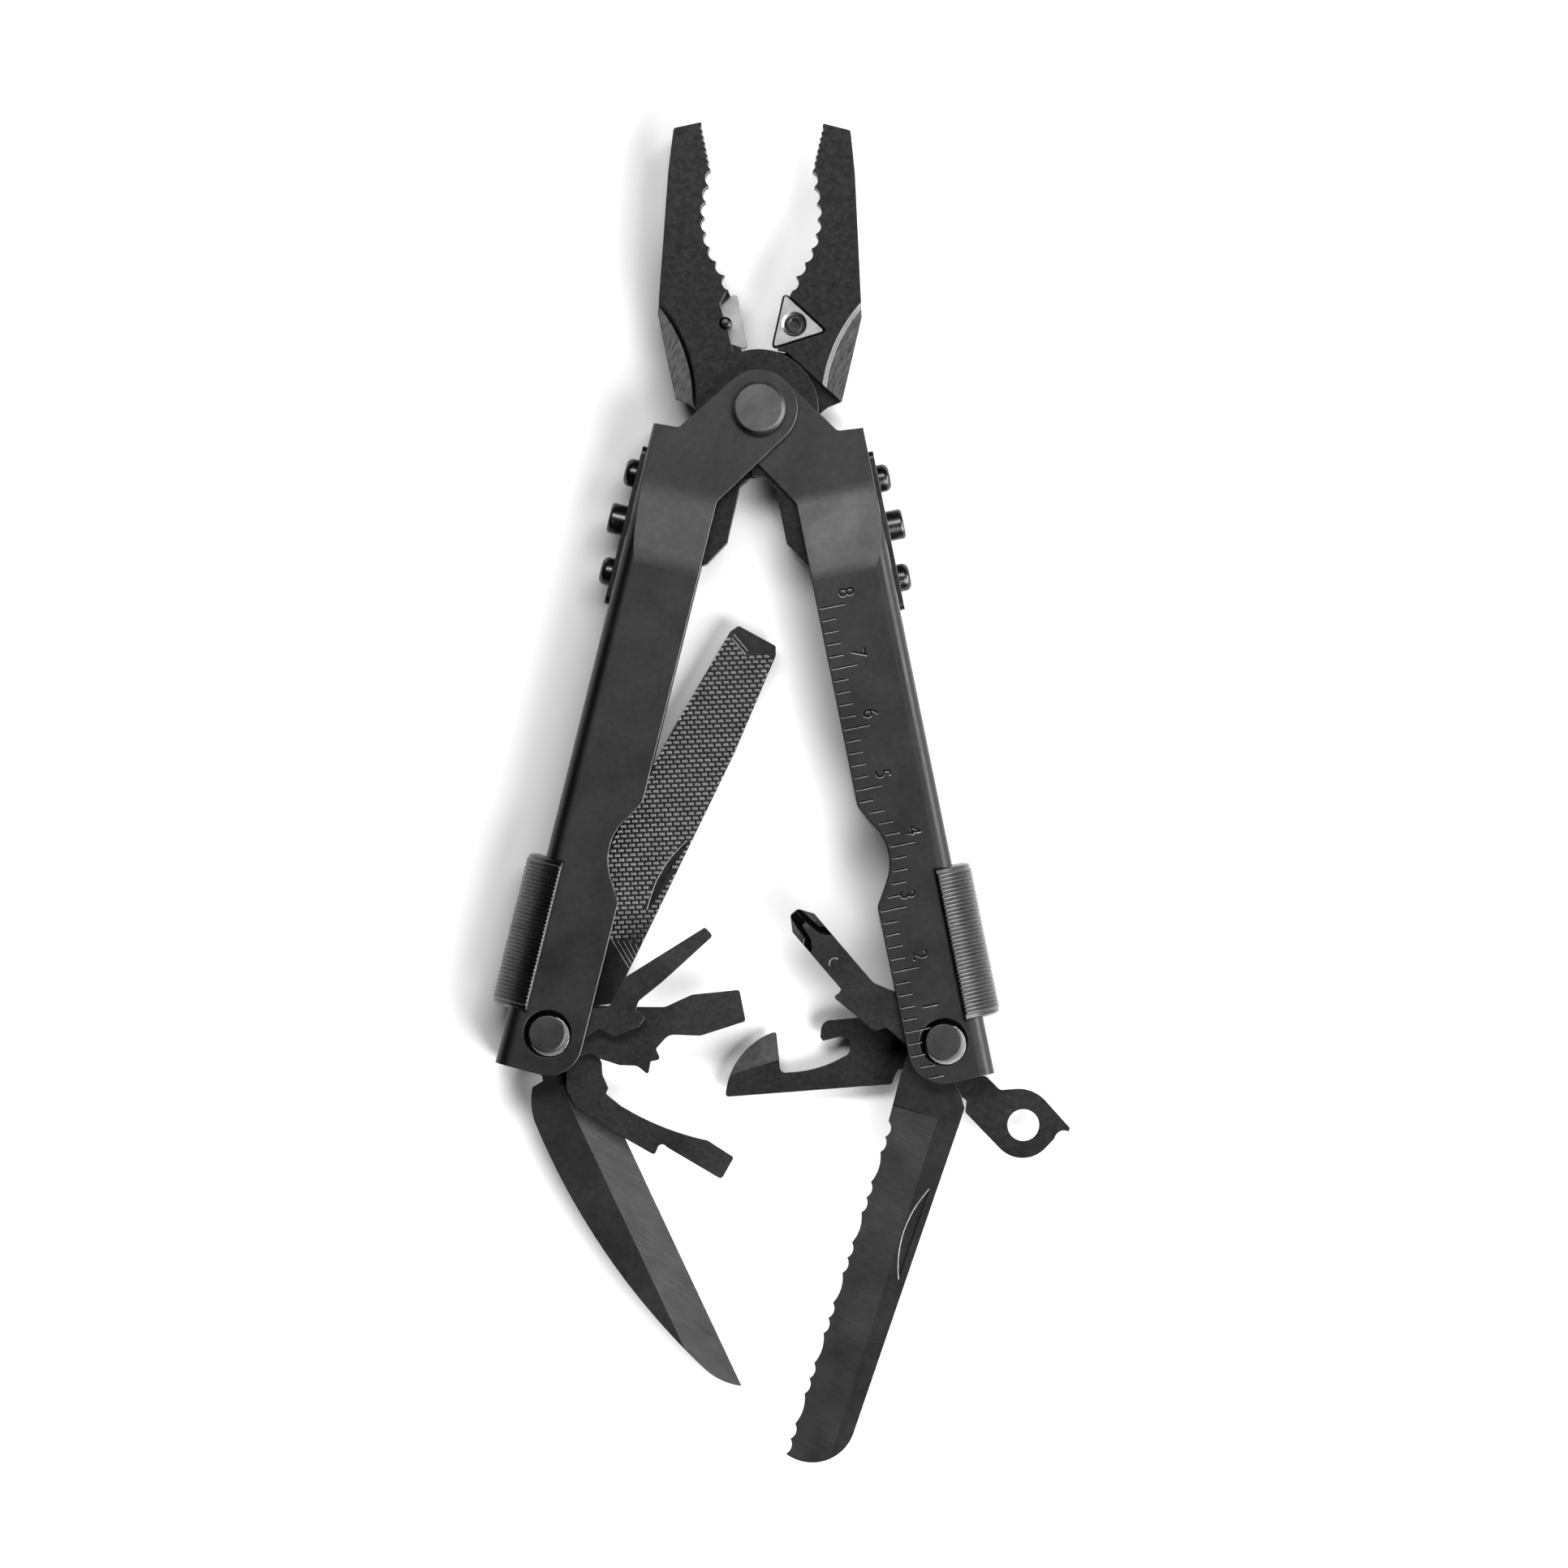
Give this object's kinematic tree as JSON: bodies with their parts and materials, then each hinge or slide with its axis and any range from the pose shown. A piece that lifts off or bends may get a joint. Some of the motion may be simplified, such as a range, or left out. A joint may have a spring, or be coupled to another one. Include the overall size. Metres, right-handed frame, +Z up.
{
  "type": "multi tool",
  "caption": "Pliers multi tool lying on its back with its toothed jaws closed, its two channel-shaped handles parted and every folding tool swung out.",
  "frame": {"origin": "on the surface the tool lies on, under the middle of its bounding box", "axes": "+Y from the handles towards the tips of the jaws, +Z up out of the face that carries the ruler, +X towards the handle with the ruler"},
  "size_m": [0.094, 0.2177, 0.0178],
  "materials": {
    "handle_shell": "black oxide, softly satin",
    "jaw_steel": "black oxide over forged and ground steel",
    "carbide": "ground carbide, semi-bright",
    "dark_screw": "black oxide",
    "rivet_steel": "ground, semi-bright",
    "axle_steel": "ground, semi-bright",
    "ring_steel": "bright spring steel",
    "spring_steel": "black oxide",
    "plate_screw": "black oxide",
    "button_steel": "black oxide",
    "lock_steel": "black oxide, worn bright on the ribs",
    "file_steel": "dark oxide over cut teeth",
    "driver_steel": "black oxide, satin",
    "blade_steel": "black oxide with a finely ground bevel",
    "tool_steel": "black oxide, satin"
  },
  "bodies": {
    "left_grip": {"left_handle": "handle_shell", "right_jaw": "jaw_steel", "right_cutter_insert": "carbide", "right_insert_screw": "dark_screw", "left_tool_axle": "axle_steel", "left_snap_ring": "ring_steel", "left_washers": "axle_steel", "left_spring_plate": "spring_steel", "left_plate_screws": "plate_screw", "left_lock_spring": "spring_steel", "front_ear_rivet": "rivet_steel", "rear_ear_rivet": "rivet_steel", "jaw_pin": "rivet_steel"},
    "right_grip": {"right_handle": "handle_shell", "left_jaw": "jaw_steel", "left_cutter_insert": "carbide", "left_insert_screw": "dark_screw", "right_tool_axle": "axle_steel", "right_snap_ring": "ring_steel", "right_washers": "axle_steel", "right_spring_plate": "spring_steel", "right_plate_screws": "plate_screw", "right_lock_spring": "spring_steel"},
    "left_lock": {"left_slide_lock": "lock_steel", "left_lock_bar": "lock_steel"},
    "right_lock": {"right_slide_lock": "lock_steel", "right_lock_bar": "lock_steel"},
    "left_button": {"left_release_button": "button_steel"},
    "right_button": {"right_release_button": "button_steel"},
    "file_body": {"file": "file_steel"},
    "small_driver_body": {"small_driver": "driver_steel"},
    "medium_driver_body": {"medium_driver": "driver_steel"},
    "large_driver_body": {"large_driver": "driver_steel"},
    "knife_body": {"knife_blade": "blade_steel"},
    "phillips_body": {"phillips_driver": "driver_steel"},
    "opener_body": {"can_opener": "tool_steel"},
    "serrated_body": {"serrated_blade": "blade_steel"},
    "lanyard_body": {"lanyard_ring": "tool_steel"}
  },
  "joints": [
    {"name": "handle_hinge", "type": "hinge", "parent": "left_grip", "child": "right_grip", "pos_m": [-0.0037, 0.0625, 0.0087], "axis": [0, 0, 1], "range_deg": [-8.8, 15]},
    {"name": "left_lock_slide", "type": "slide", "parent": "left_grip", "child": "left_lock", "axis": [0.2402, 0.9707, 0], "range_m": [0, 0.0055], "stiffness_N_per_m": 300, "springref_m": -0.002, "deforming": ["left_lock_spring"]},
    {"name": "right_lock_slide", "type": "slide", "parent": "right_grip", "child": "right_lock", "axis": [-0.1994, 0.9799, 0], "range_m": [0, 0.0055], "stiffness_N_per_m": 300, "springref_m": -0.002, "deforming": ["right_lock_spring"]},
    {"name": "left_button_press", "type": "slide", "parent": "left_grip", "child": "left_button", "axis": [0.9707, -0.2402, 0], "range_m": [0, 0.0012], "stiffness_N_per_m": 1500, "springref_m": -0.001},
    {"name": "right_button_press", "type": "slide", "parent": "right_grip", "child": "right_button", "axis": [-0.9799, -0.1994, 0], "range_m": [0, 0.0012], "stiffness_N_per_m": 1500, "springref_m": -0.001},
    {"name": "file_turn", "type": "hinge", "parent": "left_grip", "child": "file_body", "pos_m": [-0.03795, -0.03884, 0.0087], "axis": [0, 0, -1], "range_deg": [-13.1, 12]},
    {"name": "small_driver_turn", "type": "hinge", "parent": "left_grip", "child": "small_driver_body", "pos_m": [-0.03795, -0.03884, 0.0087], "axis": [0, 0, -1], "range_deg": [-42.1, 137.9]},
    {"name": "medium_driver_turn", "type": "hinge", "parent": "left_grip", "child": "medium_driver_body", "pos_m": [-0.03795, -0.03884, 0.0087], "axis": [0, 0, -1], "range_deg": [-68.1, 111.9]},
    {"name": "large_driver_turn", "type": "hinge", "parent": "left_grip", "child": "large_driver_body", "pos_m": [-0.03795, -0.03884, 0.0087], "axis": [0, 0, -1], "range_deg": [-111.1, 68.9]},
    {"name": "knife_turn", "type": "hinge", "parent": "left_grip", "child": "knife_body", "pos_m": [-0.03795, -0.03884, 0.0087], "axis": [0, 0, 1], "range_deg": [-39.1, 54]},
    {"name": "phillips_turn", "type": "hinge", "parent": "right_grip", "child": "phillips_body", "pos_m": [0.02627, -0.04019, 0.0087], "axis": [0, 0, 1], "range_deg": [-29, 151]},
    {"name": "opener_turn", "type": "hinge", "parent": "right_grip", "child": "opener_body", "pos_m": [0.02627, -0.04019, 0.0087], "axis": [0, 0, 1], "range_deg": [-82.9, 97.1]},
    {"name": "serrated_turn", "type": "hinge", "parent": "right_grip", "child": "serrated_body", "pos_m": [0.02627, -0.04019, 0.0087], "axis": [0, 0, -1], "range_deg": [-30.4, 60]},
    {"name": "lanyard_turn", "type": "hinge", "parent": "right_grip", "child": "lanyard_body", "pos_m": [0.02627, -0.04019, 0.0087], "axis": [0, 0, 1], "range_deg": [-212.1, 0]}
  ]
}
